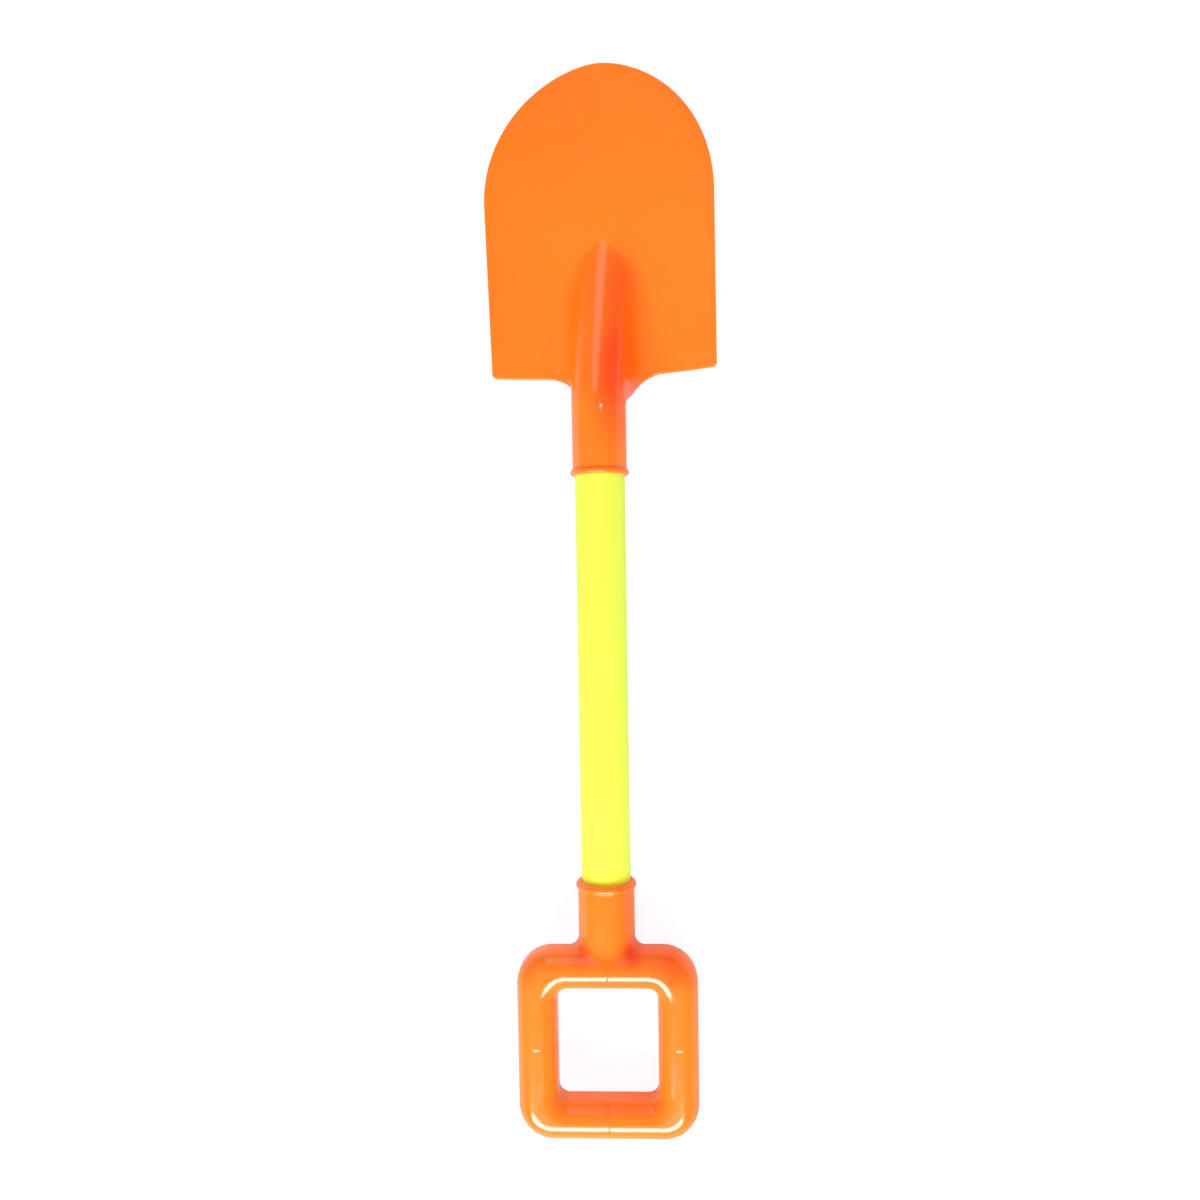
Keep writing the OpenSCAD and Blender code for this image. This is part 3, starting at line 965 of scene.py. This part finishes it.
# Floor, light and surroundings
# A white sheet under the shovel, one large soft lamp from the handle's side, a strip from
# beyond the blade, and white all round.
SHEET_REACH = 3
SHEET_GREY = (0.8, 0.8, 0.8, 1.0)
SHADE_GREY = (0.12, 0.12, 0.12, 1.0)
PLAIN_WHITE = (1.0, 1.0, 1.0, 1.0)
corners = [(-SHEET_REACH, -SHEET_REACH, 0), (SHEET_REACH, -SHEET_REACH, 0)]
corners += [(SHEET_REACH, SHEET_REACH, 0), (-SHEET_REACH, SHEET_REACH, 0)]
floor_mesh = bpy.data.meshes.new("floor")
floor_mesh.from_pydata(corners, [], [(0, 1, 2, 3)])
floor = add_object("floor", floor_mesh)


def add_ray_kinds(tree):
    """Light Path, and a node that is 1 for rays straight from the camera or through plastic."""
    path = add_node(tree, "ShaderNodeLightPath")
    straight = add_node(
        tree,
        "ShaderNodeMath",
        {"operation": "MAXIMUM"},
        {0: path.outputs["Is Camera Ray"], 1: path.outputs["Is Transmission Ray"]},
    )
    return path, straight


paper = bpy.data.materials.new("white_paper")
tree = empty_tree(paper)
path, straight = add_ray_kinds(tree)
seen = add_node(
    tree,
    "ShaderNodeMath",
    {"operation": "MAXIMUM"},
    {0: straight.outputs["Value"], 1: path.outputs["Is Glossy Ray"]},
)
# Mirrored in the shovel the sheet is brighter on the left, as under a window
spot = add_node(tree, "ShaderNodeTexCoord")
parts = add_node(tree, "ShaderNodeSeparateXYZ", links={"Vector": spot.outputs["Object"]})
lit = add_node(
    tree,
    "ShaderNodeMapRange",
    {"From Min": -0.03, "From Max": 0.03, "To Min": 0.62, "To Max": 0.4},
    {"Value": parts.outputs["X"]},
)
bright = add_node(
    tree,
    "ShaderNodeMapRange",
    {"To Max": 0.9},
    {"Value": straight.outputs["Value"], "To Min": lit.outputs["Result"]},
)
# A ray that sees the sheet gets its glow and the shovel's shadow. Other rays find plain paper
sheet = add_node(tree, "ShaderNodeBsdfDiffuse", {"Color": SHEET_GREY})
shade = add_node(tree, "ShaderNodeBsdfDiffuse", {"Color": SHADE_GREY})
glow = add_node(
    tree,
    "ShaderNodeEmission",
    {"Color": PLAIN_WHITE},
    {"Strength": bright.outputs["Result"]},
)
white = add_node(
    tree,
    "ShaderNodeAddShader",
    links={0: shade.outputs["BSDF"], 1: glow.outputs["Emission"]},
)
choose = add_node(
    tree,
    "ShaderNodeMixShader",
    links={0: seen.outputs["Value"], 1: sheet.outputs["BSDF"], 2: white.outputs["Shader"]},
)
add_node(tree, "ShaderNodeOutputMaterial", links={"Surface": choose.outputs["Shader"]})
floor_mesh.materials.append(paper)


def add_soft_lamp(name, direction, distance, size, power):
    """A rectangular lamp that faces the middle of the shovel from a camera's direction."""
    data = bpy.data.lights.new(name, "AREA")
    data.shape = "RECTANGLE"
    data.size, data.size_y = size
    data.energy = power
    lamp = add_object(name, data)
    toward = Vector(TO_FRAME @ np.array(direction)).normalized()
    lamp.location = toward * distance
    lamp.rotation_euler = toward.to_track_quat("Z", "Y").to_euler()


add_soft_lamp("key_softbox", (-0.136, -0.824, 0.55), 0.91, (0.85, 0.29), 9.6)
add_soft_lamp("far_window", (-0.23, 0.755, 0.60), 1.2, (0.36, 0.9), 1.1)

world = bpy.data.worlds.new("white_room")
bpy.context.scene.world = world
tree = empty_tree(world)
path, straight = add_ray_kinds(tree)
# In reflections the walls are white low down, less so beyond the blade and on the right,
# and the ceiling is dim
spot = add_node(tree, "ShaderNodeTexCoord")
parts = add_node(tree, "ShaderNodeSeparateXYZ", links={"Vector": spot.outputs["Generated"]})
low_down = add_node(
    tree,
    "ShaderNodeMapRange",
    {
        "interpolation_type": "SMOOTHSTEP",
        "From Min": 0.0,
        "From Max": 0.3,
        "To Min": 1.0,
        "To Max": 0.12,
    },
    {"Value": parts.outputs["Z"]},
)
across = add_node(
    tree,
    "ShaderNodeMath",
    {"operation": "ADD"},
    {0: parts.outputs["X"], 1: parts.outputs["Y"]},
)
side = add_node(
    tree,
    "ShaderNodeMapRange",
    {
        "interpolation_type": "SMOOTHSTEP",
        "From Min": -0.9,
        "From Max": 0.2,
        "To Min": 0.85,
        "To Max": 0.18,
    },
    {"Value": across.outputs["Value"]},
)
walls = add_node(
    tree,
    "ShaderNodeMath",
    {"operation": "MULTIPLY"},
    {0: low_down.outputs["Result"], 1: side.outputs["Result"]},
)
# As light on the shovel the room is a little brighter on the left
ambient = add_node(
    tree,
    "ShaderNodeMapRange",
    {"From Min": -0.7, "From Max": 0.7, "To Min": 0.92, "To Max": 0.86},
    {"Value": parts.outputs["X"]},
)
room = add_node(
    tree,
    "ShaderNodeMix",
    {"data_type": "FLOAT"},
    {
        "Factor": path.outputs["Is Glossy Ray"],
        "A": ambient.outputs["Result"],
        "B": walls.outputs["Value"],
    },
)
level = add_node(
    tree,
    "ShaderNodeMapRange",
    {"To Max": 1.0},
    {"Value": straight.outputs["Value"], "To Min": room.outputs["Result"]},
)
sky = add_node(
    tree,
    "ShaderNodeBackground",
    {"Color": PLAIN_WHITE},
    {"Strength": level.outputs["Result"]},
)
add_node(tree, "ShaderNodeOutputWorld", links={"Surface": sky.outputs["Background"]})

bpy.context.scene.view_settings.view_transform = "Standard"
